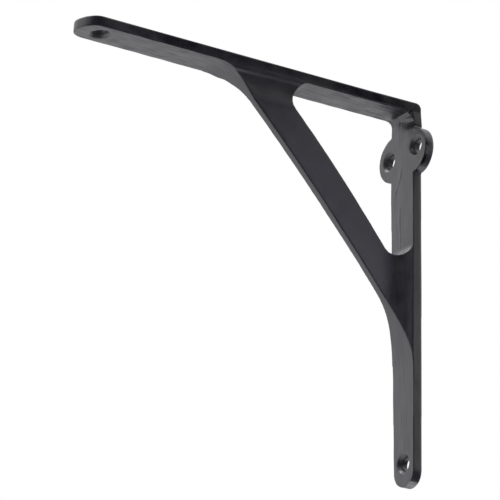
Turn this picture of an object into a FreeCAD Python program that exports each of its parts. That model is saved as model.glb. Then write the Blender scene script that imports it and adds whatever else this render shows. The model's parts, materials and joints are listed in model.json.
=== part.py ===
import FreeCAD, Part
import math
import os
import Sketcher

# One cast shelf bracket: a shelf flange, a wall flange with two ears, and a
# strut on a thin web that flares out into both flanges.
# Frame: +Z up, +X out from the wall, Y across the bracket. The origin lies on
# the wall face, midway between the two ear holes. The shelf face is above it.

# Driving dimensions, in millimetres and degrees
SIZES = [
    ("wall_length", 200.0, "shelf face to the tip of the wall flange"),
    ("shelf_length", 195.0, "wall face to the tip of the shelf flange"),
    ("flange_thickness", 5.1, "both flanges"),
    ("root_width", 18.9, "width of both flanges at the corner"),
    ("shelf_tip_width", 17.1, "width of the shelf flange at its round tip"),
    ("wall_tip_width", 16.2, "width of the wall flange at its round tip"),
    ("outer_corner_radius", 3.0, "where wall face and shelf face meet"),
    ("inner_corner_radius", 3.0, "inside the corner"),
    ("web_thickness", 4.0, "the strut and the web behind it"),
    ("strut_reach", 122.2, "wall face to where the strut leaves the shelf flange"),
    ("strut_drop", 142.2, "shelf face to where the strut leaves the wall flange"),
    ("shelf_sweep_radius", 34.0, "outer curve into the shelf flange"),
    ("wall_sweep_radius", 62.0, "outer curve into the wall flange"),
    ("outer_arch_radius", 1200.0, "slight bow of the strut's outer edge"),
    ("inner_arch_radius", 660.0, "slight bow of the strut's inner edge"),
    ("opening_reach", 67.4, "wall face to the end of the opening's flat top"),
    ("opening_drop", 75.5, "shelf face to the end of the opening's flat back"),
    ("opening_top_radius", 6.5, "corner of the opening at the shelf flange"),
    ("opening_foot_radius", 6.6, "corner of the opening at the wall flange"),
    ("flare_depth", 14.3, "inner face of a flange to where the web's flare ends"),
    ("flare_radius", 18.3, "hollow curve of the flare"),
    ("ear_drop", 25.6, "shelf face to the centres of the ears' rounds"),
    ("ear_hole_drop", 24.7, "shelf face to the line of the ear holes"),
    ("ear_offset", 7.6, "mid-width to the centre of an ear's round"),
    ("ear_radius", 12.0, "round of an ear"),
    ("ear_root_radius", 1.0, "inside corner between ear and flange"),
    ("ear_hole_offset", 11.6, "mid-width to an ear's hole"),
    ("tip_hole_inset", 11.8, "wall flange tip to its hole"),
    ("shelf_hole_inset", 12.5, "shelf flange tip to its hole"),
    ("hole_diameter", 7.2, "straight part of each screw hole"),
    ("countersink_diameter", 10.4, "mouth of each screw hole"),
    ("countersink_angle", 90.0, "full angle of the countersinks"),
    ("edge_radius", 0.5, "softened edge all round the wall face and shelf face"),
    ("stock_margin", 4.0, "spare stock that the width and tip cuts remove"),
    ("tool_margin", 12.0, "how far the hollows' blocks run past the bracket"),
]
SIZE = {name: value for name, value, meaning in SIZES}


def build_sheet(doc):
    sheet = doc.addObject("Spreadsheet::Sheet", "Dimensions")
    for row, (name, value, meaning) in enumerate(SIZES, start=1):
        sheet.set("A%d" % row, name)
        sheet.set("B%d" % row, repr(value))
        sheet.set("C%d" % row, meaning)
        sheet.setAlias("B%d" % row, name)
    doc.recompute()
    return sheet


def origin_plane(body, role):
    for feature in body.Origin.OriginFeatures:
        if feature.Role == role:
            return feature
    raise ValueError("no origin plane " + role)


def new_sketch(body, name, role, lift=None, lift_sign=1):
    """A sketch on one of the body's own planes, lifted along its normal by a named size."""
    sketch = body.newObject("Sketcher::SketchObject", name)
    sketch.AttachmentSupport = [(origin_plane(body, role), "")]
    sketch.MapMode = "FlatFace"
    if lift:
        sign = "" if lift_sign > 0 else "-"
        sketch.setExpression(".AttachmentOffset.Base.z", sign + "Dimensions." + lift)
    return sketch


def bind(obj, prop, expression):
    obj.setExpression(prop, expression)


class Outline:
    """A closed loop of lines and arcs, each joined to the one before it."""

    def __init__(self, sketch):
        self.sketch = sketch
        self.links = []

    def line(self, start, end):
        geometry = Part.LineSegment(FreeCAD.Vector(*start, 0), FreeCAD.Vector(*end, 0))
        index = self.sketch.addGeometry(geometry, False)
        self.links.append((index, 1, 2))
        return index

    def arc(self, centre, radius, start_angle, end_angle, backwards=False):
        """An arc that runs anticlockwise; backwards when the loop runs against it."""
        circle = Part.Circle(FreeCAD.Vector(*centre, 0), FreeCAD.Vector(0, 0, 1), radius)
        index = self.sketch.addGeometry(Part.ArcOfCircle(circle, start_angle, end_angle), False)
        self.links.append((index, 2, 1) if backwards else (index, 1, 2))
        return index

    def close(self, smooth=()):
        """Join the links end to end; those in smooth meet the next one tangentially."""
        count = len(self.links)
        for place in range(count):
            here, _, end = self.links[place]
            after, start, _ = self.links[(place + 1) % count]
            kind = "Tangent" if here in smooth else "Coincident"
            self.sketch.addConstraint(Sketcher.Constraint(kind, here, end, after, start))


def along(sketch, kind, index, point, expression, sign=1):
    """Hold a point at a named distance from the sketch origin along one axis."""
    place = sketch.getPoint(index, point)
    value = place.x if kind == "DistanceX" else place.y
    if sign > 0:
        constraint = Sketcher.Constraint(kind, -1, 1, index, point, value)
    else:
        constraint = Sketcher.Constraint(kind, index, point, -1, 1, -value)
    number = sketch.addConstraint(constraint)
    sketch.setExpression("Constraints[%d]" % number, expression)


def radius_of(sketch, index, expression):
    value = sketch.Geometry[index].Radius
    number = sketch.addConstraint(Sketcher.Constraint("Radius", index, value))
    sketch.setExpression("Constraints[%d]" % number, expression)


def straight(sketch, kind, *indices):
    for index in indices:
        sketch.addConstraint(Sketcher.Constraint(kind, index))


def meeting_point(centre_a, reach_a, centre_b, reach_b):
    """The point at the given reaches from two centres, on the right going from a to b."""
    across = (centre_b[0] - centre_a[0], centre_b[1] - centre_a[1])
    span = math.hypot(*across)
    ahead = (reach_a**2 - reach_b**2 + span**2) / (2 * span)
    aside = math.sqrt(reach_a**2 - ahead**2)
    unit = (across[0] / span, across[1] / span)
    return (centre_a[0] + ahead * unit[0] + aside * unit[1],
            centre_a[1] + ahead * unit[1] - aside * unit[0])


def direction(origin, target):
    return math.atan2(target[1] - origin[1], target[0] - origin[0])


def side_outline(body):
    """The bracket from the side: two flanges, the strut and the opening between."""
    sketch = new_sketch(body, "side_outline", "XZ_Plane")
    thick = SIZE["flange_thickness"]
    shelf, wall = SIZE["shelf_length"], SIZE["wall_length"]
    corner, inner = SIZE["outer_corner_radius"], SIZE["inner_corner_radius"]
    quarter = math.pi / 2

    reach, drop = SIZE["strut_reach"], SIZE["strut_drop"]
    top_round, foot_round = SIZE["shelf_sweep_radius"], SIZE["wall_sweep_radius"]
    arch = SIZE["outer_arch_radius"]
    top_centre = (reach, -thick - top_round)
    foot_centre = (thick + foot_round, -drop)
    arch_centre = meeting_point(foot_centre, arch - foot_round, top_centre, arch - top_round)
    top_angle = direction(arch_centre, top_centre)
    foot_angle = direction(arch_centre, foot_centre)

    loop = Outline(sketch)
    shelf, wall = shelf + SIZE["stock_margin"], wall + SIZE["stock_margin"]
    top = loop.line((corner, 0), (shelf, 0))
    tip = loop.line((shelf, 0), (shelf, -thick))
    under = loop.line((shelf, -thick), (reach, -thick))
    sweep_top = loop.arc(top_centre, top_round, quarter, top_angle)
    bow = loop.arc(arch_centre, arch, top_angle, foot_angle)
    sweep_foot = loop.arc(foot_centre, foot_round, foot_angle, math.pi)
    front = loop.line((thick, -drop), (thick, -wall))
    foot = loop.line((thick, -wall), (0, -wall))
    back = loop.line((0, -wall), (0, -corner))
    bend = loop.arc((corner, -corner), corner, quarter, math.pi, backwards=True)
    loop.close(smooth=(under, sweep_top, bow, sweep_foot, back, bend))
    straight(sketch, "Horizontal", top, under, foot)
    straight(sketch, "Vertical", tip, front, back)
    sketch.addConstraint(Sketcher.Constraint("PointOnObject", top, 1, -1))
    sketch.addConstraint(Sketcher.Constraint("PointOnObject", back, 2, -2))
    radius_of(sketch, bend, "Dimensions.outer_corner_radius")
    along(sketch, "DistanceX", top, 2, "Dimensions.shelf_length + Dimensions.stock_margin")
    along(sketch, "DistanceY", under, 1, "Dimensions.flange_thickness", -1)
    along(sketch, "DistanceX", under, 2, "Dimensions.strut_reach")
    radius_of(sketch, sweep_top, "Dimensions.shelf_sweep_radius")
    radius_of(sketch, bow, "Dimensions.outer_arch_radius")
    radius_of(sketch, sweep_foot, "Dimensions.wall_sweep_radius")
    along(sketch, "DistanceY", front, 1, "Dimensions.strut_drop", -1)
    along(sketch, "DistanceX", front, 2, "Dimensions.flange_thickness")
    along(sketch, "DistanceY", foot, 2, "Dimensions.wall_length + Dimensions.stock_margin", -1)

    reach, drop = SIZE["opening_reach"], SIZE["opening_drop"]
    top_round, foot_round = SIZE["opening_top_radius"], SIZE["opening_foot_radius"]
    arch = SIZE["inner_arch_radius"]
    top_centre = (reach, -thick - top_round)
    foot_centre = (thick + foot_round, -drop)
    arch_centre = meeting_point(foot_centre, arch + foot_round, top_centre, arch + top_round)
    top_angle = direction(arch_centre, top_centre)
    foot_angle = direction(arch_centre, foot_centre)

    gap = Outline(sketch)
    ceiling = gap.line((thick + inner, -thick), (reach, -thick))
    round_top = gap.arc(top_centre, top_round, top_angle - math.pi, quarter, backwards=True)
    bow = gap.arc(arch_centre, arch, top_angle, foot_angle)
    round_foot = gap.arc(foot_centre, foot_round, math.pi, foot_angle + math.pi, backwards=True)
    rear = gap.line((thick, -drop), (thick, -thick - inner))
    bend = gap.arc((thick + inner, -thick - inner), inner, quarter, math.pi, backwards=True)
    gap.close(smooth=(ceiling, round_top, bow, round_foot, rear, bend))
    straight(sketch, "Horizontal", ceiling)
    straight(sketch, "Vertical", rear)
    radius_of(sketch, bend, "Dimensions.inner_corner_radius")
    along(sketch, "DistanceY", ceiling, 1, "Dimensions.flange_thickness", -1)
    along(sketch, "DistanceX", ceiling, 2, "Dimensions.opening_reach")
    radius_of(sketch, round_top, "Dimensions.opening_top_radius")
    radius_of(sketch, bow, "Dimensions.inner_arch_radius")
    radius_of(sketch, round_foot, "Dimensions.opening_foot_radius")
    along(sketch, "DistanceY", rear, 1, "Dimensions.opening_drop", -1)
    along(sketch, "DistanceX", rear, 2, "Dimensions.flange_thickness")
    return sketch


def hollow_outline(body, name, role, far_length):
    """A block around the web seen end on, with the web's flare as its hollow curves.

    The block lies on both sides of the web and on the flange's inner face, and is
    joined past the far end of the bracket. Distances run across the web and away
    from the outer face of the flange that the web flares into.
    """
    sketch = new_sketch(body, name, role)
    down = role == "YZ_Plane"
    across_kind = "DistanceX" if down else "DistanceY"
    away_kind = "DistanceY" if down else "DistanceX"
    away_sign = -1 if down else 1
    half, bend = SIZE["web_thickness"] / 2, SIZE["flare_radius"]
    ends = SIZE["flange_thickness"] + SIZE["flare_depth"]
    inner_far = SIZE[far_length] + SIZE["tool_margin"]
    outer_far = inner_far + SIZE["tool_margin"]
    outer, floor = half + bend, SIZE["flange_thickness"]
    quarter, sweep = math.pi / 2, math.asin(SIZE["flare_depth"] / bend)
    toe = outer - bend * math.cos(sweep)

    def spot(across, away):
        return (across, -away) if down else (away, across)

    def line(start, end):
        return loop.line(spot(*start), spot(*end))

    def flare(side):
        last = math.pi if side > 0 else sweep
        if not down:
            last = 3 * quarter if side > 0 else quarter + sweep
        return loop.arc(spot(side * outer, ends), bend, last - sweep, last)

    loop = Outline(sketch)
    right_flare = flare(1)
    right_face = line((half, ends), (half, inner_far))
    inner_end = line((half, inner_far), (-half, inner_far))
    left_face = line((-half, inner_far), (-half, ends))
    left_flare = flare(-1)
    left_floor = line((-toe, floor), (-outer, floor))
    left_side = line((-outer, floor), (-outer, outer_far))
    outer_end = line((-outer, outer_far), (outer, outer_far))
    right_side = line((outer, outer_far), (outer, floor))
    right_floor = line((outer, floor), (toe, floor))
    loop.close(smooth=(right_flare, left_face))

    faces = (right_face, left_face, left_side, right_side)
    straight(sketch, "Vertical" if down else "Horizontal", *faces)
    straight(sketch, "Horizontal" if down else "Vertical",
             inner_end, outer_end, left_floor, right_floor)
    radius_of(sketch, right_flare, "Dimensions.flare_radius")
    radius_of(sketch, left_flare, "Dimensions.flare_radius")
    along(sketch, across_kind, right_face, 1, "Dimensions.web_thickness / 2")
    along(sketch, across_kind, left_face, 1, "Dimensions.web_thickness / 2", -1)
    flare_end = "Dimensions.flange_thickness + Dimensions.flare_depth"
    along(sketch, away_kind, right_face, 1, flare_end, away_sign)
    along(sketch, away_kind, left_face, 2, flare_end, away_sign)
    along(sketch, away_kind, left_floor, 2, "Dimensions.flange_thickness", away_sign)
    along(sketch, away_kind, right_floor, 1, "Dimensions.flange_thickness", away_sign)
    far = "Dimensions.%s + %sDimensions.tool_margin"
    along(sketch, away_kind, right_face, 2, far % (far_length, ""), away_sign)
    along(sketch, away_kind, right_side, 1, far % (far_length, "2 * "), away_sign)
    half_block = "Dimensions.web_thickness / 2 + Dimensions.flare_radius"
    along(sketch, across_kind, right_side, 1, half_block)
    along(sketch, across_kind, left_side, 1, half_block, -1)
    return sketch


def flange_outline(body, flange, role):
    """Everything outside one flange as seen face on: tapered sides and a round tip."""
    name = flange + "_flange_plan"
    length, tip_width = flange + "_length", flange + "_tip_width"
    sketch = new_sketch(body, name, role)
    down = role == "YZ_Plane"
    across_kind = "DistanceX" if down else "DistanceY"
    away_kind = "DistanceY" if down else "DistanceX"
    away_sign = -1 if down else 1
    reach, margin = SIZE[length], SIZE["stock_margin"]
    root, tip = SIZE["root_width"] / 2, SIZE[tip_width] / 2

    def spot(across, away):
        return (across, -away) if down else (away, across)

    side = margin * 2 + root
    frame = Outline(sketch)
    corners = [(side, -2 * margin), (side, reach + 2 * margin),
               (-side, reach + 2 * margin), (-side, -2 * margin)]
    edges = [frame.line(spot(*corners[n]), spot(*corners[(n + 1) % 4])) for n in range(4)]
    frame.close()
    straight(sketch, "Vertical" if down else "Horizontal", edges[0], edges[2])
    straight(sketch, "Horizontal" if down else "Vertical", edges[1], edges[3])
    half_frame = "Dimensions.root_width / 2 + 2 * Dimensions.stock_margin"
    along(sketch, across_kind, edges[0], 1, half_frame)
    along(sketch, across_kind, edges[2], 1, half_frame, -1)
    along(sketch, away_kind, edges[0], 1, "2 * Dimensions.stock_margin", -away_sign)
    along(sketch, away_kind, edges[0], 2,
          "Dimensions.%s + 2 * Dimensions.stock_margin" % length, away_sign)

    centre = reach - tip
    slope = math.asin((root - tip) / math.hypot(centre, root))
    loop = Outline(sketch)
    touch = (tip * math.cos(slope), centre + tip * math.sin(slope))
    right = loop.line(spot(root, 0), spot(*touch))
    if down:
        cap = loop.arc(spot(0, centre), tip, math.pi - slope, 2 * math.pi + slope, backwards=True)
    else:
        cap = loop.arc(spot(0, centre), tip, -math.pi / 2 - slope, math.pi / 2 + slope,
                       backwards=True)
    left = loop.line(spot(-touch[0], touch[1]), spot(-root, 0))
    left_end = loop.line(spot(-root, 0), spot(-root, -margin))
    back = loop.line(spot(-root, -margin), spot(root, -margin))
    right_end = loop.line(spot(root, -margin), spot(root, 0))
    loop.close(smooth=(right, cap))
    straight(sketch, "Vertical" if down else "Horizontal", left_end, right_end)
    straight(sketch, "Horizontal" if down else "Vertical", back)
    radius_of(sketch, cap, "Dimensions.%s / 2" % tip_width)
    centre_on = Sketcher.Constraint("PointOnObject", cap, 3, -2 if down else -1)
    sketch.addConstraint(centre_on)
    cap_centre = "Dimensions.%s - Dimensions.%s / 2" % (length, tip_width)
    along(sketch, away_kind, cap, 3, cap_centre, away_sign)
    along(sketch, across_kind, right, 1, "Dimensions.root_width / 2")
    along(sketch, across_kind, left, 2, "Dimensions.root_width / 2", -1)
    sketch.addConstraint(Sketcher.Constraint("PointOnObject", right, 1, -1 if down else -2))
    sketch.addConstraint(Sketcher.Constraint("PointOnObject", left, 2, -1 if down else -2))
    along(sketch, away_kind, back, 1, "Dimensions.stock_margin", -away_sign)
    return sketch


def screw_hole(body, name, role, spot, expressions, drill_away):
    """One countersunk screw hole, sunk from a flange's inner face."""
    sketch = new_sketch(body, name + "_centre", role, "flange_thickness", drill_away)
    index = sketch.addGeometry(Part.Circle(FreeCAD.Vector(*spot, 0), FreeCAD.Vector(0, 0, 1),
                                           SIZE["hole_diameter"] / 2), False)
    radius_of(sketch, index, "Dimensions.hole_diameter / 2")
    for kind, value, expression in zip(("DistanceX", "DistanceY"), spot, expressions):
        if value == 0:
            axis = -2 if kind == "DistanceX" else -1
            sketch.addConstraint(Sketcher.Constraint("PointOnObject", index, 3, axis))
        else:
            along(sketch, kind, index, 3, expression, 1 if value > 0 else -1)
    body.Document.recompute()
    hole = body.newObject("PartDesign::Hole", name)
    hole.Profile = sketch
    hole.Reversed = drill_away < 0
    hole.ThreadType = "None"
    hole.DepthType = "ThroughAll"
    hole.HoleCutType = "Countersink"
    hole.HoleCutCustomValues = True
    bind(hole, "Diameter", "Dimensions.hole_diameter")
    bind(hole, "HoleCutDiameter", "Dimensions.countersink_diameter")
    bind(hole, "HoleCutCountersinkAngle", "Dimensions.countersink_angle")
    return hole


def ear_outline(body):
    """Both ears as one rounded bar across the wall flange."""
    sketch = new_sketch(body, "ear_outline", "YZ_Plane")
    offset, drop, bend = SIZE["ear_offset"], SIZE["ear_drop"], SIZE["ear_radius"]
    quarter = math.pi / 2
    loop = Outline(sketch)
    right = loop.arc((offset, -drop), bend, -quarter, quarter)
    top = loop.line((offset, -drop + bend), (-offset, -drop + bend))
    left = loop.arc((-offset, -drop), bend, quarter, 3 * quarter)
    bottom = loop.line((-offset, -drop - bend), (offset, -drop - bend))
    loop.close(smooth=(right, top, left, bottom))
    radius_of(sketch, right, "Dimensions.ear_radius")
    along(sketch, "DistanceX", right, 3, "Dimensions.ear_offset")
    along(sketch, "DistanceX", left, 3, "Dimensions.ear_offset", -1)
    along(sketch, "DistanceY", right, 3, "Dimensions.ear_drop", -1)
    straight(sketch, "Horizontal", top)
    return sketch


def ear_root_edges(shape):
    """The straight edges where the ears' rounds meet the sides of the wall flange."""
    drop, bend = SIZE["ear_drop"], SIZE["ear_radius"]
    names = []
    for number, edge in enumerate(shape.Edges, start=1):
        first, last = edge.Vertexes[0].Point, edge.Vertexes[-1].Point
        runs_out = abs(first.y - last.y) + abs(first.z - last.z) < 1e-4
        full = abs(abs(first.x - last.x) - SIZE["flange_thickness"]) < 1e-3
        at_side = SIZE["wall_tip_width"] / 2 < abs(first.y) < SIZE["root_width"] / 2 + 1
        at_ear = abs(abs(first.z + drop) - bend) < 2
        if runs_out and full and at_side and at_ear:
            names.append("Edge%d" % number)
    if len(names) != 4:
        raise ValueError("expected four ear roots, found %d" % len(names))
    return names


def seat_edges(shape):
    """The edges all round the faces that lie against the wall and the shelf."""
    names = []
    for number, edge in enumerate(shape.Edges, start=1):
        middle = edge.valueAt((edge.FirstParameter + edge.LastParameter) / 2)
        ends = [vertex.Point for vertex in edge.Vertexes]
        spots = ends + [middle]
        on_seat = (all(abs(spot.x) < 1e-4 for spot in spots)
                   or all(abs(spot.z) < 1e-4 for spot in spots))
        round_corner = (max(spot.x for spot in spots) < SIZE["outer_corner_radius"] + 1e-4
                        and min(spot.z for spot in spots) > -SIZE["outer_corner_radius"] - 1e-4)
        across = max(spot.y for spot in spots) - min(spot.y for spot in spots)
        if (on_seat and not round_corner) or (round_corner and across < SIZE["wall_tip_width"]):
            names.append("Edge%d" % number)
    return names


def build_recess(doc):
    """The hollows on both sides of the web as one solid."""
    across_wall = doc.addObject("PartDesign::Body", "wall_hollow")
    sketch = hollow_outline(across_wall, "wall_hollow_outline", "XY_Plane", "shelf_length")
    block = across_wall.newObject("PartDesign::Pad", "wall_hollow_block")
    block.Profile = sketch
    block.Reversed = True
    bind(block, "Length", "Dimensions.wall_length + 2 * Dimensions.tool_margin")

    recess = doc.addObject("PartDesign::Body", "recess")
    sketch = hollow_outline(recess, "shelf_hollow_outline", "YZ_Plane", "wall_length")
    block = recess.newObject("PartDesign::Pad", "shelf_hollow_block")
    block.Profile = sketch
    bind(block, "Length", "Dimensions.shelf_length + 2 * Dimensions.tool_margin")
    doc.recompute()
    overlap = recess.newObject("PartDesign::Boolean", "both_hollows")
    overlap.Type = "Common"
    overlap.setObjects([across_wall])
    doc.recompute()
    return recess


def pocket_all(body, name, sketch):
    cut = body.newObject("PartDesign::Pocket", name)
    cut.Profile = sketch
    cut.Type = "ThroughAll"
    cut.Midplane = True
    body.Document.recompute()
    return cut


def build_bracket(doc):
    recess = build_recess(doc)
    body = doc.addObject("PartDesign::Body", "bracket")
    body.Label = "bracket"
    stages = []

    stock = body.newObject("PartDesign::Pad", "stock")
    stock.Profile = side_outline(body)
    stock.SideType = "Symmetric"
    bind(stock, "Length", "Dimensions.root_width + Dimensions.stock_margin")
    doc.recompute()
    stages.append(stock)

    hollows = body.newObject("PartDesign::Boolean", "web_hollows")
    hollows.Type = "Cut"
    hollows.setObjects([recess])
    doc.recompute()
    stages.append(hollows)

    for flange, role in (("shelf", "XY_Plane"), ("wall", "YZ_Plane")):
        sides = flange_outline(body, flange, role)
        stages.append(pocket_all(body, flange + "_flange_sides", sides))
    trimmed = stages[-1].Shape.Volume

    ears = body.newObject("PartDesign::Pad", "ears")
    ears.Profile = ear_outline(body)
    bind(ears, "Length", "Dimensions.flange_thickness")
    doc.recompute()
    if ears.Shape.Volume <= trimmed:
        raise ValueError("the ears added nothing")

    roots = body.newObject("PartDesign::Fillet", "ear_roots")
    roots.Base = (ears, ear_root_edges(ears.Shape))
    bind(roots, "Radius", "Dimensions.ear_root_radius")
    doc.recompute()

    softened = body.newObject("PartDesign::Fillet", "softened_edges")
    softened.Base = (roots, seat_edges(roots.Shape))
    bind(softened, "Radius", "Dimensions.edge_radius")
    doc.recompute()

    ear_z = -SIZE["ear_hole_drop"]
    tip_z = -(SIZE["wall_length"] - SIZE["tip_hole_inset"])
    shelf_x = SIZE["shelf_length"] - SIZE["shelf_hole_inset"]
    ear_y = SIZE["ear_hole_offset"]
    to_ear = ("Dimensions.ear_hole_offset", "Dimensions.ear_hole_drop")
    to_tip = ("", "Dimensions.wall_length - Dimensions.tip_hole_inset")
    to_shelf = ("Dimensions.shelf_length - Dimensions.shelf_hole_inset", "")
    cuts = [softened]
    cuts.append(screw_hole(body, "ear_hole_left", "YZ_Plane", (-ear_y, ear_z), to_ear, 1))
    doc.recompute()
    cuts.append(screw_hole(body, "ear_hole_right", "YZ_Plane", (ear_y, ear_z), to_ear, 1))
    doc.recompute()
    cuts.append(screw_hole(body, "wall_tip_hole", "YZ_Plane", (0, tip_z), to_tip, 1))
    doc.recompute()
    cuts.append(screw_hole(body, "shelf_hole", "XY_Plane", (shelf_x, 0), to_shelf, -1))
    doc.recompute()

    for run in (stages, cuts):
        for before, after in zip(run, run[1:]):
            if not after.Shape.Volume < before.Shape.Volume - 1:
                raise ValueError(after.Name + " cut nothing")

    bind(body, ".Placement.Base.z", "Dimensions.ear_hole_drop")
    doc.recompute()
    return body


def check(doc, bodies):
    for obj in doc.Objects:
        if "Invalid" in obj.State or "Error" in obj.State:
            raise ValueError("%s is %s" % (obj.Name, obj.State))
    for body in bodies:
        shape = body.Shape
        if shape.isNull() or not shape.isValid() or len(shape.Solids) != 1:
            raise ValueError(body.Label + " is not one valid solid")
        box = shape.optimalBoundingBox(True)
        print("%s: %.1f cm3, %.1f x %.1f x %.1f mm" % (body.Label, shape.Volume / 1000,
                                                       box.XLength, box.YLength, box.ZLength))


document = FreeCAD.newDocument("shelf_bracket")
build_sheet(document)
bracket = build_bracket(document)
check(document, [bracket])
os.makedirs("parts", exist_ok=True)
bracket.Shape.exportStep("parts/bracket.step")
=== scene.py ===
import json
import math

import bmesh
import bpy
import numpy as np
from mathutils import Matrix, Vector


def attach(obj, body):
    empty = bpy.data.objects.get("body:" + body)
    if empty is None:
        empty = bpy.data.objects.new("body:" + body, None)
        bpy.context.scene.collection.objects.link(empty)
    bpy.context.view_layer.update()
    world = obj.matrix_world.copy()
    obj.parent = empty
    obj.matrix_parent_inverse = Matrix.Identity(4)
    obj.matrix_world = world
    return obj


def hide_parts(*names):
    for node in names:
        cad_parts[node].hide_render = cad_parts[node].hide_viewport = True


# A cast iron shelf bracket in satin black paint, alone on white.
# Row frame, in metres: +X out from the wall, +Z up, the bracket symmetric about y = 0.
# A drop is a depth below the top of the shelf arm. Near is the side of +Y.
MM = 0.001

# The camera, fitted to the photograph's outline: a long lens that looks up from below at AIM
IMAGE_PIXELS = 500
FOCAL_PIXELS = 2907.2
CAMERA_DISTANCE = 1.4
CAMERA_AZIMUTH = 57.493
CAMERA_ELEVATION = -20.605
CAMERA_ROLL = 0.897
SENSOR_WIDTH = 36.0
AIM = Vector((95.41, 0.0, -71.77)) * MM

# The casting's mesh. It stands proud of the solid by SKIN all over, which fits the outline.
WELD = 0.001 * MM
VOXEL = 0.36 * MM
SOFTENING = 0.5
SOFTENING_ROUNDS = 1
SKIN = 0.15 * MM
FINAL_TRIANGLES = 190000

# Measures of the solid that tell its faces apart
FLANGE_THICKNESS = 5.1 * MM
FLANGE_HALF_WIDTH = 8.5 * MM
FACE_HALF_WIDTH = 8.6 * MM
FRONT_REACH = 8 * MM
SEAT_DEPTH = 1.5 * MM
WEB_REACH = 3.2 * MM
WEB_EDGE = 0.8 * MM
EAR_RIM_START = 9 * MM
EAR_RIM_EDGE = 1 * MM

# Tones of the paint. The last four were set against the photograph's greys, and in part
# they stand in for its light: the web, the long side by the shelf, the shaded places and
# the facet at the wall arm's tip.
PAINT = ((0.018, 0.017, 0.027, 1), (0.028, 0.027, 0.039, 1))
# The web's lighter colour is partly its own tone and partly painted light
WEB_PAINT = (0.034, 0.031, 0.053, 1)
# The smooth sides' darker colour is partly their own and partly painted shade
SMOOTH_SIDE_SHADE_PAINT = (0.006, 0.005, 0.013, 1)
# Painted shade: a near-black colour for the hollow, the underside by the inner corner, the ears' inner
# rims and the holes
SHADE_PAINT = (0.003, 0.003, 0.004, 1)
# Painted highlight: a light grey on the flat facet low on the wall arm's tip
FACET_HIGHLIGHT_PAINT = (0.16, 0.16, 0.18, 1)

# Where those tones lie. The web's, partly painted light, fades in below the shelf arm, leaving it darker
# near the arm as painted shade; the side's, partly painted shade, reaches down to a drop that depends on
# x, then thins out along the shelf arm.
WEB_FADE_DROPS = np.array([8, 45]) * MM
SMOOTH_REACH = np.array([[6, 8], [13.5, 6]]) * MM
SMOOTH_EDGE = 0.6 * MM
SMOOTH_THINNING = (np.array([130, 170]) * MM, [1.0, 0.4])
# The ears' side rims: painted light nearer the wall than RIM_SPLIT, painted shade further out
RIM_SPLIT = 3.2 * MM
RIM_BLEND = 0.5 * MM
RIM_LIGHT = 0.6
# Painted shade in the hollow under the corner pad and on the underside by the inner corner
HOLLOW_SHADE = 2.5
CORNER_SHADE_DROP = 8 * MM
CORNER_SHADE_OUT = (np.array([5, 7, 10, 15]) * MM, [1, 1, 0.8, 0])
CORNER_SHADE_ACROSS = (np.array([-7, -1, 5, 8]) * MM, [0.2, 1, 0.9, 0.2])
FACET_EDGE = 0.02 * MM

# Raised seams on the wall arm's front: drops, and how far across each lies there
SEAM_HEIGHT = 0.27 * MM
SEAM_WIDTH = 0.5 * MM
SEAM_END = 1 * MM
SEAM_PATCH = 6 * MM
LONG_SEAM = np.array([[53, 62, 70, 77], [-1.7, -2.0, -1.6, -1.9]]) * MM
SHORT_SEAM = np.array([[32, 38, 42, 48], [-0.8, -1.3, -4.0, -6.5]]) * MM

# Fine relief: crowned faces, a slight wave, and streaks that are strongest near the top
FACE_CROWN = 0.16 * MM
WAVE_HEIGHT = 0.05 * MM
WAVE_LENGTH = 9 * MM
SEAT_CALM = 0.85
STREAK_HEIGHT = 0.055 * MM
STREAK_PATCH = 12 * MM
STREAK_FADE = (np.array([0, 8, 12]) * MM, [1, 1, 0.35])

# The inner corner between the arms: rounded, and on the near half of the width a raised pad
# of left-over metal with a hollow under it. The rounding's radius goes by how far across,
# and so does the drop at which the pad ends.
CORNER_ROUND = np.array([[-9, -4, 0], [3.4, 2.4, 1.2]]) * MM
CORNER_ROUND_LAP = 0.7 * MM
CORNER_ROUND_EDGE = 0.4 * MM
PAD_HEIGHT = 0.9 * MM
PAD_END = np.array([[0.5, 8.5], [7.6, 9.6]]) * MM
PAD_EDGE = 0.5 * MM
PAD_LAP = 0.2 * MM
CORNER_HOLLOW = 0.7 * MM
HOLLOW_PLACE = (np.array([8.0, 9.8, 11.5, 14.0]) * MM, [0, 1, 1, 0])

# A low ledge where the shelf arm's side runs out into the web's flare: how far out, the
# drop it lies at along the arm, and the height over which it falls away
LEDGE_HEIGHT = 0.7 * MM
LEDGE_START_DROP = 4.6 * MM
LEDGE_PLACE = np.array([[76, 107], [6.1, 6.8]]) * MM
LEDGE_FALL = 0.9 * MM
LEDGE_LEAST_OUT = 20 * MM
LEDGE_LEAST_ACROSS = 3 * MM

# The wall arm's and the ears' back edge is rounded below a drop
BACK_ROUND = 1.8 * MM
BACK_ROUND_DEPTH = 0.35 * MM
BACK_ROUND_START = 12 * MM
BACK_ROUND_EDGE = 2 * MM

# What is off true in this casting. Edges: distances along an arm, and how far out the
# edge lies there.
SHELF_SIDE_LEAN = 0.4 * MM
SHELF_LEAN_PLACE = (np.array([0, 5.1, 14]) * MM, [0, 1, 0])
NEAR_WALL_EDGE = np.array([[0, 12, 37, 100, 200], [0.3, 1.1, 0.2, 0.4, 0.2]]) * MM
FAR_WALL_EDGE = np.array([[12, 39, 75, 150, 200], [-0.5, 0.4, 0.5, -0.1, -0.1]]) * MM
NEAR_SHELF_EDGE = np.array([[0, 190], [0.0, 0.4]]) * MM
FAR_SHELF_EDGE = np.array([[0, 190], [-0.65, 0.4]]) * MM
WALL_ZONE = 30 * MM
WALL_BLEND = 20 * MM
TIP_REACH = 12 * MM
WALL_TIP_LIFT = 0.25 * MM
WALL_TIP_SKEW = 0.1
SHELF_TIP_CUT = 0.6 * MM
SHELF_TIP_SKEW = 0.22
SHELF_TIP_LEAN = 0.3 * MM
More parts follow.
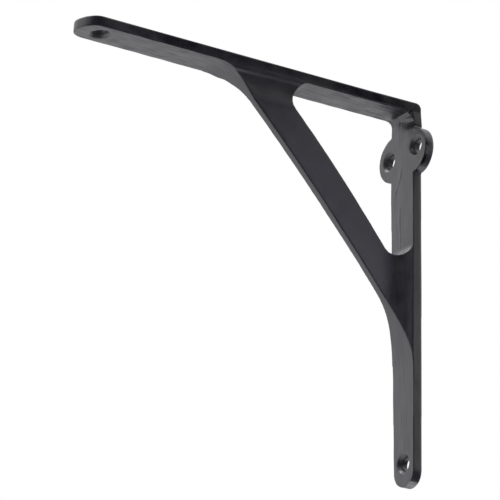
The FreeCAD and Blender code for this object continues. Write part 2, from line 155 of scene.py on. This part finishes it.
SHELF_TIP_LEAN_HEIGHT = 5 * MM
EAR_BLEND = 2 * MM
EAR_PLACE = (np.array([10, 14.5, 36, 39]) * MM, [0, 1, 1, 0])
NEAR_EAR_SHIFT = np.array([0, -0.05, -0.6]) * MM
FAR_EAR_SHIFT = np.array([0, -0.15, 0]) * MM

# The flat facet low on the near side of the wall arm's tip: the way it faces, across and
# down, and how far that way it lies, from the tip's centre and radius in millimetres
FACET_FACING = (0.454, 0.891)
WALL_TIP_DROP = 191.5
WALL_TIP_RADIUS = 8.5
FACET_CUT = 0.25
FACET_REACH = (WALL_TIP_DROP * FACET_FACING[1] + WALL_TIP_RADIUS - FACET_CUT) * MM

# The holes, in the order near ear, far ear, wall arm's tip, shelf arm's tip. HOLE_MOUTH is
# the countersink's radius at the face, and its lip runs out to a soft edge.
HOLE_MOUTH = 5.0 * MM
BORE_GROWTH = np.array([-0.01, 0.11, -0.17, -0.05]) * MM
HOLE_SHIFTS = np.array([[0, -0.35, 0.9], [0, 0.4, -0.95], [0, -0.3, 0.2], [0, 0, 0]]) * MM
SHIFT_ZONE = 1.6
SHIFT_BLEND = 0.4
HOLE_NARROWING = 0.7 * MM
NARROWING_REACH = 6.2 * MM
NARROWING_EDGE = 0.8 * MM
HOLE_CALM_EDGE = 2.5 * MM
HOLE_AXIS_CLEAR = 0.01 * MM

# The cutter's section. Pairs behind the bore are its growth and the depth, in millimetres.
CUTTER_SIDES = 72
CUTTER_RISE = 3.0 * MM
CUTTER_EDGE = 0.1 * MM
LIP_ROUND = 1.4 * MM
LIP_TANGENT = 0.414
LIP_TURNS = (4, 12, 21, 30, 38, 45)
CONE_SHARES = (0.4, 0.6, 0.8, 0.93)
BORE_DEPTHS = np.array([3.4, 4.8]) * MM
BACK_LIP = ((0.04, 4.95), (0.15, 5.1), (0.4, 5.25), (0.4, 8.0))
# Painted shade inside the countersink and, darker, in the bore
CONE_SHADE = 0.15
BORE_SHADE = 0.9

# Light and reflections are dim toward DIM_DIRECTION and beyond DIM_FLOOR, as they would be
# from the photographer's side
DIM_LEVEL = 0.02
DIM_WORLD = (-0.2, 0.5)
DIM_DIRECTION = Vector((0.20, 0.85, -0.45)).normalized()
DIM_FLOOR = (-0.2, 0.35)
FLOOR_DEPTH = 0.9
FLOOR_SIZE = 12
FLOOR_TONES = ((0.90, 0.90, 0.90, 1), (0.94, 0.94, 0.94, 1))

# Each lamp: its name, place, size and power
LAMPS = (("top_lamp", (0.3, -0.6, 1.2), 0.8, 8.0),
         ("low_side_lamp", (-0.14, 0.28, -0.03), 0.2, 0.055),
         ("front_lamp", (0.85, 1.18, -0.60), 0.25, 0.5))


def look_matrix():
    """The camera's place and turn in the row frame."""
    azimuth, elevation = math.radians(CAMERA_AZIMUTH), math.radians(CAMERA_ELEVATION)
    away = Vector((math.cos(azimuth) * math.cos(elevation),
                   math.sin(azimuth) * math.cos(elevation), math.sin(elevation)))
    right = (-away).cross(Vector((0, 0, 1))).normalized()
    up = right.cross(-away)
    roll = math.radians(CAMERA_ROLL)
    turned_right = math.cos(roll) * right + math.sin(roll) * up
    turned_up = math.cos(roll) * up - math.sin(roll) * right
    turn = Matrix((turned_right, turned_up, away)).transposed().to_4x4()
    return Matrix.Translation(AIM + CAMERA_DISTANCE * away) @ turn


def make_camera():
    data = bpy.data.cameras.new("camera")
    data.sensor_width = SENSOR_WIDTH
    data.lens = FOCAL_PIXELS * SENSOR_WIDTH / IMAGE_PIXELS
    camera = bpy.data.objects.new("camera", data)
    camera.matrix_world = look_matrix()
    bpy.context.collection.objects.link(camera)
    bpy.context.scene.camera = camera


class Nodes:
    """Short hand for building a shader tree."""

    def __init__(self, tree):
        self.tree = tree
        tree.nodes.clear()

    def add(self, kind, settings=(), **inputs):
        node = self.tree.nodes.new(kind)
        for name, value in dict(settings).items():
            setattr(node, name, value)
        for name, value in inputs.items():
            self.feed(node, name.replace("_", " "), value)
        return node

    def feed(self, node, name, value):
        socket = node.inputs[int(name[1:])] if name[:1] == "#" else node.inputs[name]
        if isinstance(value, bpy.types.NodeSocket):
            self.tree.links.new(value, socket)
        else:
            socket.default_value = value

    def math(self, operation, *values):
        node = self.add("ShaderNodeMath", {"operation": operation})
        for place, value in enumerate(values):
            self.feed(node, "#%d" % place, value)
        return node.outputs[0]

    def blend(self, factor, first, second):
        """Colour first where factor is 0, second where it is 1."""
        node = self.add("ShaderNodeMix", {"data_type": "RGBA"})
        for place, value in ((0, factor), (6, first), (7, second)):
            self.feed(node, "#%d" % place, value)
        return node.outputs[2]

    def ramp(self, value, low, high, out_low=0.0, out_high=1.0):
        node = self.add("ShaderNodeMapRange", {"interpolation_type": "SMOOTHSTEP"},
                        Value=value)
        for name, number in (("From Min", low), ("From Max", high),
                             ("To Min", out_low), ("To Max", out_high)):
            node.inputs[name].default_value = number
        return node.outputs[0]

    def noise(self, vector, scale, detail=3.0, roughness=0.5):
        node = self.add("ShaderNodeTexNoise", {}, Vector=vector, Scale=scale,
                        Detail=detail, Roughness=roughness)
        return node.outputs["Fac"]

    def attribute(self, name):
        return self.add("ShaderNodeAttribute", {"attribute_name": name}).outputs["Fac"]

    def stretched(self, vector, stretch):
        node = self.add("ShaderNodeMapping", {}, Vector=vector)
        node.inputs["Scale"].default_value = stretch
        return node.outputs[0]


def iron_material():
    """Satin black paint over the fine skin of a sand casting."""
    material = bpy.data.materials.new("satin_black_iron")
    material.use_nodes = True
    nodes = Nodes(material.node_tree)
    place = nodes.add("ShaderNodeTexCoord").outputs["Object"]

    smooth_sides_painted_shade, web_tones_and_painted_light = nodes.attribute("smooth_side"), nodes.attribute("web_face")
    sooty, facet = nodes.attribute("sooty"), nodes.attribute("ground_facet")

    grain = nodes.noise(place, 1400.0, 4.0, 0.6)
    mottle = nodes.noise(place, 160.0, 3.0, 0.55)
    cloud = nodes.noise(place, 28.0, 2.0, 0.5)
    brushed = nodes.noise(nodes.stretched(place, (0.04, 1.0, 0.04)), 1500.0, 3.0, 0.6)

    tone = nodes.math("ADD", nodes.math("MULTIPLY", mottle, 0.6), nodes.math("MULTIPLY", cloud, 0.4))
    colour = nodes.blend(nodes.ramp(tone, 0.35, 0.65), *PAINT)
    # Partly painted light: the web and the ears' outer rims take a lighter colour
    colour = nodes.blend(web_tones_and_painted_light, colour, WEB_PAINT)
    # Partly painted shade: the smooth sides take a darker colour
    colour = nodes.blend(smooth_sides_painted_shade, colour, SMOOTH_SIDE_SHADE_PAINT)
    # Painted shade: the shaded places take the near-black colour
    colour = nodes.blend(sooty, colour, SHADE_PAINT)
    # Painted highlight: the facet's colour is lifted, unevenly, toward a light grey
    thin = nodes.math("MULTIPLY", facet, nodes.ramp(mottle, 0.35, 0.6, 0.5, 1.0))
    colour = nodes.blend(thin, colour, FACET_HIGHLIGHT_PAINT)

    rubbed = nodes.math("ADD", nodes.math("MULTIPLY", mottle, 0.4), nodes.math("MULTIPLY", brushed, 0.6))
    roughness = nodes.ramp(rubbed, 0.3, 0.7, 0.28, 0.48)
    roughness = nodes.math("MULTIPLY_ADD", cloud, 0.24, nodes.math("SUBTRACT", roughness, 0.10))
    roughness = nodes.math("MULTIPLY_ADD", web_tones_and_painted_light, 0.03, roughness)
    roughness = nodes.math("MULTIPLY_ADD", smooth_sides_painted_shade, -0.12, roughness)
    # The places of painted shade are also made a little smoother
    roughness = nodes.math("MULTIPLY_ADD", sooty, -0.12, roughness)

    height = nodes.math("ADD", nodes.math("MULTIPLY", grain, 0.35), nodes.math("MULTIPLY", mottle, 0.65))
    height = nodes.math("MULTIPLY_ADD", brushed, 0.6, height)
    bump = nodes.add("ShaderNodeBump", {}, Height=height, Strength=0.35, Distance=0.00025)

    shader = nodes.add("ShaderNodeBsdfPrincipled", {}, Base_Color=colour, Roughness=roughness,
                       Normal=bump.outputs[0], IOR=1.82)
    output = nodes.add("ShaderNodeOutputMaterial")
    nodes.tree.links.new(shader.outputs[0], output.inputs["Surface"])
    return material


def softened_copy(source):
    """The CAD node's form as one even mesh with the soft edges of a casting."""
    stock = bpy.data.objects.new("casting_stock", source.data.copy())
    bpy.context.collection.objects.link(stock)
    mesh = bmesh.new()
    mesh.from_mesh(stock.data)
    bmesh.ops.remove_doubles(mesh, verts=mesh.verts, dist=WELD)
    mesh.to_mesh(stock.data)
    mesh.free()

    remesh = stock.modifiers.new("even_mesh", "REMESH")
    remesh.mode = "VOXEL"
    remesh.voxel_size = VOXEL
    remesh.use_smooth_shade = True
    smooth = stock.modifiers.new("soft_edges", "SMOOTH")
    smooth.factor = SOFTENING
    smooth.iterations = SOFTENING_ROUNDS
    depsgraph = bpy.context.evaluated_depsgraph_get()
    result = bpy.data.meshes.new_from_object(stock.evaluated_get(depsgraph))
    bpy.data.objects.remove(stock)
    return result


def wave(points, scale, seed):
    """A gentle seeded sum of sines over space, between about -1 and 1."""
    draw = np.random.default_rng(seed)
    total = np.zeros(len(points))
    count = 7
    for _ in range(count):
        direction = draw.normal(size=3)
        direction *= draw.uniform(0.6, 1.4) / (np.linalg.norm(direction) * scale)
        total += np.sin(2 * np.pi * (points @ direction) + draw.uniform(0, 2 * np.pi))
    return total / math.sqrt(count)


def set_attribute(mesh, name, values):
    attribute = mesh.attributes.new(name, "FLOAT", "POINT")
    attribute.data.foreach_set("value", np.asarray(values, dtype=np.float32))


def screw_holes(record):
    """Each screw hole of the record: a point on its axis, the axis' number and the radius."""
    holes = []
    for mount in record["mounts"]:
        place, axis = np.array(mount["pos_m"]), np.array(mount["axis"])
        if mount["kind"] == "bolt_pattern":
            half, radius = mount["dims"]["spacing_x_mm"] * MM / 2, mount["dims"]["hole_r_mm"] * MM
            holes += [(place + [0, side * half, 0], 0, radius) for side in (1, -1)]
        elif mount["kind"] == "bore":
            holes.append((place, int(np.argmax(np.abs(axis))), mount["dims"]["r_mm"] * MM))
    return holes


def share(length, reach):
    """How much of reach the length makes, from 0 to 1."""
    return np.clip(length / reach, 0, 1)


def facing(normal, least=2.6):
    """1 where a surface faces the way of the normal's part given, 0 where it turns away."""
    return np.clip(normal * 4 - least, 0, 1)


def casting_lean(points, holes):
    """The small lean of a real casting: arms, ears, tips and drilled holes off true.

    It goes by the ends of the points that it is given. So the holes' cutters, which end
    elsewhere, lean a few tenths of a millimetre unlike the casting around them.
    """
    x, y, z = points.T
    drop = z.max() - z
    near = y > 0
    outward = np.clip(y / FLANGE_HALF_WIDTH, -1, 1)
    on_wall = share(WALL_ZONE - x, WALL_BLEND)
    wall_edge = np.where(near, np.interp(drop, *NEAR_WALL_EDGE), np.interp(drop, *FAR_WALL_EDGE))
    shelf_edge = np.where(near, np.interp(x, *NEAR_SHELF_EDGE), np.interp(x, *FAR_SHELF_EDGE))
    move = np.zeros_like(points)
    move[:, 1] = outward * (on_wall * wall_edge + (1 - on_wall) * shelf_edge)
    lowered = np.interp(drop, *SHELF_LEAN_PLACE)
    move[:, 1] -= outward * np.abs(outward) * SHELF_SIDE_LEAN * lowered

    wall_tip = share(drop - (drop.max() - TIP_REACH), TIP_REACH) * on_wall
    shelf_tip = share(x - (x.max() - TIP_REACH), TIP_REACH)
    move[:, 2] += wall_tip * (WALL_TIP_LIFT - WALL_TIP_SKEW * y)
    move[:, 0] -= shelf_tip * (SHELF_TIP_CUT + SHELF_TIP_SKEW * y)

    on_ear = share(np.abs(y) - FLANGE_HALF_WIDTH, EAR_BLEND) * on_wall
    on_ear *= np.interp(drop, *EAR_PLACE)
    move += on_ear[:, None] * np.where(near[:, None], NEAR_EAR_SHIFT, FAR_EAR_SHIFT)
    for (place, axis, _radius), shift in zip(holes, HOLE_SHIFTS):
        apart = np.linalg.norm(np.delete(points - place, axis, axis=1), axis=1)
        around = share(HOLE_MOUTH * SHIFT_ZONE - apart, HOLE_MOUTH * SHIFT_BLEND)
        move += around[:, None] * shift
    return move


def streaks(points, seed):
    """Fine lines that run lengthwise on every face between the two sides."""
    draw = np.random.default_rng(seed)
    total = np.zeros(len(points))
    count = 14
    for _ in range(count):
        across = draw.uniform(0.25, 0.9) * draw.choice([-1, 1]) / MM
        along = draw.normal(size=2) * 0.03 / MM
        wave_vector = np.array([along[0], across, along[1]])
        total += np.sin(2 * np.pi * (points @ wave_vector) + draw.uniform(0, 2 * np.pi))
    return total / math.sqrt(count)


def narrow_holes(points, holes):
    """Draws the holes' surfaces inward, so that the cutters take them off.

    Returns how far each point is from every hole, from 0 at a hole to 1 well away.
    """
    clear = np.ones(len(points))
    for place, axis, _radius in holes:
        others = [number for number in range(3) if number != axis]
        offset = points[:, others] - place[others]
        apart = np.maximum(np.linalg.norm(offset, axis=1), HOLE_AXIS_CLEAR)
        inward = HOLE_NARROWING * share(NARROWING_REACH - apart, NARROWING_EDGE)
        points[:, others] -= offset * (inward / apart)[:, None]
        clear = np.minimum(clear, share(apart - NARROWING_REACH, HOLE_CALM_EDGE))
    return clear


def hole_profile(bore):
    """A hole's half section from the outside inward: reach from the axis, depth and painted shade."""
    knee = HOLE_MOUTH - bore
    lip = HOLE_MOUTH + SKIN + LIP_TANGENT * LIP_ROUND
    profile = [(lip + CUTTER_EDGE, -CUTTER_RISE, 0), (lip + CUTTER_EDGE, -SKIN - 0.01 * MM, 0)]
    profile += [(lip - LIP_ROUND * np.sin(turn), LIP_ROUND * (1 - np.cos(turn)) - SKIN, 0)
                for turn in np.radians(LIP_TURNS)]
    profile += [(HOLE_MOUTH + part * (bore - HOLE_MOUTH), part * knee, CONE_SHADE * part)
                for part in CONE_SHARES]
    profile += [(bore + 0.06 * MM, knee - 0.02 * MM, 0.4), (bore, knee + 0.15 * MM, 0.8)]
    profile += [(bore, depth, BORE_SHADE) for depth in (knee + 0.5 * MM, *BORE_DEPTHS)]
    profile += [(bore + growth * MM, depth * MM, BORE_SHADE) for growth, depth in BACK_LIP]
    return profile


def turned_cutter(profile, place, axis, top, first):
    """A profile turned about a hole's axis: its corners, and faces that count from first."""
    others = [number for number in range(3) if number != axis]
    face = FLANGE_THICKNESS if axis == 0 else top - FLANGE_THICKNESS
    outward = 1 if axis == 0 else -1
    corners, faces = [], []
    for reach, depth, _shade in profile:
        for turn in np.arange(CUTTER_SIDES) * 2 * np.pi / CUTTER_SIDES:
            corner = np.array(place)
            corner[others] += reach * np.array([np.cos(turn), np.sin(turn)])
            corner[axis] = face - outward * depth
            corners.append(corner)
    for ring in range(len(profile) - 1):
        here = first + ring * CUTTER_SIDES
        there = here + CUTTER_SIDES
        for side in range(CUTTER_SIDES):
            after = (side + 1) % CUTTER_SIDES
            faces.append((here + side, here + after, there + after, there + side))
    last = first + (len(profile) - 1) * CUTTER_SIDES
    faces.append(tuple(first + side for side in range(CUTTER_SIDES))[::-1])
    faces.append(tuple(last + side for side in range(CUTTER_SIDES)))
    return corners, faces


def hole_cutter(holes, top):
    """The countersinks and bores with soft edges, as one mesh to be taken off the casting."""
    corners, faces, shade_levels = [], [], []
    for (place, axis, radius), growth in zip(holes, BORE_GROWTH):
        profile = hole_profile(radius + growth)
        more_corners, more_faces = turned_cutter(profile, place, axis, top, len(corners))
        corners += more_corners
        faces += more_faces
        # Painted shade for each ring of the cutter
        shade_levels += np.repeat([shade_level for _reach, _depth, shade_level in profile], CUTTER_SIDES).tolist()
    corners = np.array(corners)
    corners += casting_lean(corners, holes)
    mesh = bpy.data.meshes.new("hole_cutter")
    mesh.from_pydata(corners.tolist(), [], faces)
    shape = bmesh.new()
    shape.from_mesh(mesh)
    bmesh.ops.recalc_face_normals(shape, faces=shape.faces)
    shape.to_mesh(mesh)
    shape.free()
    set_attribute(mesh, "sooty", shade_levels)
    for name in ("web_face", "smooth_side", "ground_facet"):
        set_attribute(mesh, name, np.zeros(len(shade_levels)))
    return mesh


class Skin:
    """The casting's surface points with their normals, and what the finish asks of them."""

    def __init__(self, mesh):
        count = len(mesh.vertices)
        points, normals = np.empty(count * 3), np.empty(count * 3)
        mesh.vertices.foreach_get("co", points)
        mesh.vertices.foreach_get("normal", normals)
        self.mesh = mesh
        self.points, self.normals = points.reshape(-1, 3), normals.reshape(-1, 3)
        self.top = self.points[:, 2].max()
        self.drop = self.top - self.points[:, 2]
        self.across = np.abs(self.points[:, 1])
        self.front = facing(self.normals[:, 0]) * (self.points[:, 0] < FRONT_REACH)
        self.sideways = facing(np.abs(self.normals[:, 1]))
        self.seats = np.maximum(-self.normals[:, 0] * (self.points[:, 0] < SEAT_DEPTH),
                                self.normals[:, 2] * (self.points[:, 2] > self.top - SEAT_DEPTH))
        self.ear_rim = share(self.across - EAR_RIM_START, EAR_RIM_EDGE)
        self.ear_rim *= np.clip(2 - 3 * np.abs(self.normals[:, 0]), 0, 1)


def face_relief(skin):
    """How high the seams, the crown and the streaks stand on faces between the two sides."""
    points, drop = skin.points, skin.drop
    seam = np.zeros(len(points))
    for drops, places in (LONG_SEAM, SHORT_SEAM):
        off_line = points[:, 1] - np.interp(drop, drops, places)
        ends = share(np.minimum(drop - drops[0], drops[-1] - drop), SEAM_END)
        seam += ends * np.exp(-(off_line / SEAM_WIDTH) ** 2)
    patches = np.clip(0.9 + 0.3 * wave(points * [0, 0, 1], SEAM_PATCH, 9), 0, 1.2)
    seam *= SEAM_HEIGHT * skin.front * patches
    patches = np.clip(1 + 0.8 * wave(points, STREAK_PATCH, 6), 0, 2)
    streak = STREAK_HEIGHT * streaks(points, 5) * patches
    streak *= np.interp(drop, *STREAK_FADE)
    crown = FACE_CROWN * (0.5 - share(skin.across, FACE_HALF_WIDTH))
    in_plane = np.clip(1 - np.abs(skin.normals[:, 1]) * 1.5, 0, 1)
    open_face = in_plane * np.clip(1 - 2 * skin.seats, 0, 1)
    return open_face * (seam + crown + streak)


def lean_shelf_tip(skin):
    """Leans the shelf arm's tip back toward its top."""
    points = skin.points
    tip_start = points[:, 0].max() - FACE_HALF_WIDTH
    toward_tip = share(points[:, 0] - tip_start, FACE_HALF_WIDTH)
    upward = share(points[:, 2] - (skin.top - SHELF_TIP_LEAN_HEIGHT), SHELF_TIP_LEAN_HEIGHT)
    points[:, 0] -= SHELF_TIP_LEAN * toward_tip * upward ** 2


def tone_sides(skin):
    """Marks the web, partly painted light, with the ears' outer rims in painted light, and the smooth
    sides, darkened partly as painted shade.
    """
    x = skin.points[:, 0]
    on_web = share(WEB_REACH - skin.across, WEB_EDGE)
    # Painted light on the ears' rims nearer the wall
    light_rim = skin.ear_rim * share(RIM_SPLIT - x, RIM_BLEND)
    web = skin.sideways * on_web * np.interp(skin.drop, WEB_FADE_DROPS, [0, 1])
    set_attribute(skin.mesh, "web_face", web + RIM_LIGHT * light_rim)
    smooth = share(np.interp(x, *SMOOTH_REACH) - skin.drop, SMOOTH_EDGE)
    smooth *= np.interp(x, *SMOOTH_THINNING)
    set_attribute(skin.mesh, "smooth_side", skin.sideways * (1 - on_web) * smooth)


def tone_shade(skin, hollow):
    """Marks the places of painted shade: the hollow, the inner corner and the ears' inner rims."""
    points = skin.points
    # Painted shade on the underside near the inner corner
    by_corner = facing(-skin.normals[:, 2]) * (skin.drop < CORNER_SHADE_DROP)
    by_corner *= np.interp(points[:, 0], *CORNER_SHADE_OUT)
    by_corner *= np.interp(points[:, 1], *CORNER_SHADE_ACROSS)
    # Painted shade on the ears' rims further out
    dark_rim = skin.ear_rim * share(points[:, 0] - RIM_SPLIT, RIM_BLEND)
    shade = np.clip(hollow * HOLLOW_SHADE + dark_rim, 0, 1) + by_corner
    set_attribute(skin.mesh, "sooty", shade)


def fill_inner_corner(skin):
    """How far the surface of the corner between the arms stands out along its diagonal."""
    points = skin.points
    down, out = skin.drop - FLANGE_THICKNESS, points[:, 0] - FLANGE_THICKNESS
    radius = np.interp(points[:, 1], *CORNER_ROUND)
    slant = np.clip(2 * radius ** 2 - (down - out) ** 2, 0, None)
    step = (2 * radius - down - out - np.sqrt(slant)) / 2
    step[np.maximum(down, out) > radius] = 0
    inner = share(np.minimum(down, out) + CORNER_ROUND_LAP, CORNER_ROUND_EDGE)
    return inner * np.clip(step, 0, None)


def corner_pad(skin):
    """How much of the pad each point has, and how much of the hollow under it."""
    points, drop = skin.points, skin.drop
    pad = facing(skin.normals[:, 0], 0.6) * (points[:, 0] < FRONT_REACH)
    pad *= share(np.interp(points[:, 1], *PAD_END) - drop, PAD_EDGE) * share(points[:, 1], PAD_EDGE)
    pad *= share(drop - FLANGE_THICKNESS + PAD_LAP, PAD_EDGE)
    hollow = share(points[:, 1], FACE_HALF_WIDTH) * np.interp(drop, *HOLLOW_PLACE)
    hollow *= skin.front * (1 - np.clip(pad, 0, 1))
    return pad, hollow


def shelf_ledge(skin):
    """How much of the ledge under the shelf arm's side each point has."""
    ledge_drop = np.interp(skin.points[:, 0], *LEDGE_PLACE)
    ledge = share(skin.drop - LEDGE_START_DROP, ledge_drop - LEDGE_START_DROP)
    ledge *= np.clip(1 - (skin.drop - ledge_drop) / LEDGE_FALL, 0, 1)
    ledge *= facing(np.abs(skin.normals[:, 1]), 1) * (skin.points[:, 0] > LEDGE_LEAST_OUT)
    return ledge * (skin.across > LEDGE_LEAST_ACROSS)


def rounded_back(skin):
    """How much each point of a side is drawn in toward the back edge."""
    back = np.clip(1 - skin.points[:, 0] / BACK_ROUND, 0, 1) ** 2 * skin.sideways
    return back * share(skin.drop - BACK_ROUND_START, BACK_ROUND_EDGE)


def cut_facet(skin):
    """Flattens the low near side of the wall arm's tip, and marks the flat for its painted highlight."""
    points, (across, down) = skin.points, FACET_FACING
    beyond = points[:, 1] * across - (points[:, 2] - skin.top) * down
    beyond = np.maximum(beyond - FACET_REACH, 0)
    set_attribute(skin.mesh, "ground_facet", share(beyond, FACET_EDGE))
    points[:, 1] -= beyond * across
    points[:, 2] += beyond * down


def cast_finish(mesh, holes):
    """Gives the even mesh a casting's relief, faults and tones. Returns its top's height."""
    skin = Skin(mesh)
    relief = face_relief(skin)
    lean_shelf_tip(skin)
    tone_sides(skin)
    clear = narrow_holes(skin.points, holes)
    corner_step = fill_inner_corner(skin)
    pad, hollow = corner_pad(skin)
    tone_shade(skin, hollow)
    back, ledge = rounded_back(skin), shelf_ledge(skin)

    push = WAVE_HEIGHT * wave(skin.points, WAVE_LENGTH, 3)
    push *= 1 - SEAT_CALM * np.clip(2 * skin.seats, 0, 1)
    push += relief
    push = SKIN + clear * push - BACK_ROUND_DEPTH * back
    points = skin.points
    points += skin.normals * push[:, None]
    points[:, 0] += corner_step + PAD_HEIGHT * pad - CORNER_HOLLOW * hollow
    points[:, 1] += np.sign(points[:, 1]) * LEDGE_HEIGHT * ledge
    points[:, 2] -= corner_step
    cut_facet(skin)
    points += casting_lean(points, holes)
    mesh.vertices.foreach_set("co", points.ravel())
    mesh.update()
    return skin.top


def triangle_count(mesh):
    return sum(len(face.vertices) - 2 for face in mesh.polygons)


def make_casting(frame):
    """The bracket's casting, cut out of one even mesh of the CAD node."""
    holes = screw_holes(frame["record"])
    mesh = softened_copy(frame["nodes"]["bracket"])
    top = cast_finish(mesh, holes)
    casting = bpy.data.objects.new("bracket_casting", mesh)
    bpy.context.collection.objects.link(casting)
    mesh.materials.clear()
    mesh.materials.append(iron_material())

    thin = casting.modifiers.new("fewer_faces", "DECIMATE")
    thin.ratio = min(1.0, FINAL_TRIANGLES / triangle_count(mesh))
    cutter = bpy.data.objects.new("hole_cutter", hole_cutter(holes, top))
    cutter.data.materials.append(mesh.materials[0])
    bpy.context.collection.objects.link(cutter)
    cut = casting.modifiers.new("holes", "BOOLEAN")
    cut.operation = "DIFFERENCE"
    cut.solver = "EXACT"
    cut.object = cutter
    depsgraph = bpy.context.evaluated_depsgraph_get()
    final = bpy.data.meshes.new_from_object(casting.evaluated_get(depsgraph))
    casting.modifiers.clear()
    bpy.data.objects.remove(cutter)
    casting.data = final
    for face in final.polygons:
        face.use_smooth = True
    print("casting triangles", triangle_count(final))
    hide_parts("bracket")
    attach(casting, "root")


def make_world():
    """White to the camera; for light and reflections the photographer's side is dim."""
    world = bpy.data.worlds.new("studio")
    world.use_nodes = True
    bpy.context.scene.world = world
    nodes = Nodes(world.node_tree)
    direction = nodes.add("ShaderNodeTexCoord").outputs["Generated"]
    toward = nodes.add("ShaderNodeVectorMath", {"operation": "DOT_PRODUCT"})
    nodes.feed(toward, "#0", direction)
    toward.inputs[1].default_value = DIM_DIRECTION
    dim_side = nodes.ramp(toward.outputs["Value"], *DIM_WORLD, 1.0, DIM_LEVEL)
    path = nodes.add("ShaderNodeLightPath")
    level = nodes.math("MAXIMUM", path.outputs["Is Camera Ray"], dim_side)
    background = nodes.add("ShaderNodeBackground", {}, Color=(1, 1, 1, 1), Strength=level)
    output = nodes.add("ShaderNodeOutputWorld")
    nodes.tree.links.new(background.outputs[0], output.inputs["Surface"])


def make_floor():
    """A plain pale floor well below the bracket. Reflections see it white, dim on the near side."""
    material = bpy.data.materials.new("pale_floor")
    material.use_nodes = True
    nodes = Nodes(material.node_tree)
    place = nodes.add("ShaderNodeTexCoord").outputs["Object"]
    speck = nodes.noise(place, 6.0)
    colour = nodes.blend(speck, *FLOOR_TONES)
    paper = nodes.add("ShaderNodeBsdfPrincipled", {}, Base_Color=colour, Roughness=0.9)
    across = nodes.add("ShaderNodeSeparateXYZ", {}, Vector=place).outputs["Y"]
    level = nodes.ramp(across, *DIM_FLOOR, 1.0, DIM_LEVEL)
    white = nodes.add("ShaderNodeEmission", {}, Color=(1, 1, 1, 1), Strength=level)
    path = nodes.add("ShaderNodeLightPath")
    shader = nodes.add("ShaderNodeMixShader", {}, Fac=path.outputs["Is Glossy Ray"])
    nodes.tree.links.new(paper.outputs[0], shader.inputs[1])
    nodes.tree.links.new(white.outputs[0], shader.inputs[2])
    output = nodes.add("ShaderNodeOutputMaterial")
    nodes.tree.links.new(shader.outputs[0], output.inputs["Surface"])
    bpy.ops.mesh.primitive_plane_add(size=FLOOR_SIZE, location=(0, 0, -FLOOR_DEPTH))
    floor = bpy.context.object
    floor.name = "floor"
    floor.data.materials.append(material)


def soft_lamp(name, place, size, power):
    """A round area lamp that faces the bracket."""
    data = bpy.data.lights.new(name, "AREA")
    data.shape = "DISK"
    data.size = size
    data.energy = power
    lamp = bpy.data.objects.new(name, data)
    lamp.location = place
    lamp.visible_camera = False
    lamp.rotation_euler = (Vector(place) - AIM).to_track_quat("Z", "Y").to_euler()
    bpy.context.collection.objects.link(lamp)


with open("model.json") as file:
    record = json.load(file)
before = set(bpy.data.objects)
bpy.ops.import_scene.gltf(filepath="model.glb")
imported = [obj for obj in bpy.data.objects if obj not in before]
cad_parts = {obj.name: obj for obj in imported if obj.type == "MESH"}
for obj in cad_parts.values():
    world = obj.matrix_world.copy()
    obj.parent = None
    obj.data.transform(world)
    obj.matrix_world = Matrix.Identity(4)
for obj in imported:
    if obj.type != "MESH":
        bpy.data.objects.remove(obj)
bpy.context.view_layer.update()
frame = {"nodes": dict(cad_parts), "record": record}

make_camera()
make_casting(frame)
make_world()
make_floor()
for lamp in LAMPS:
    soft_lamp(*lamp)
bpy.context.scene.view_settings.view_transform = "Standard"
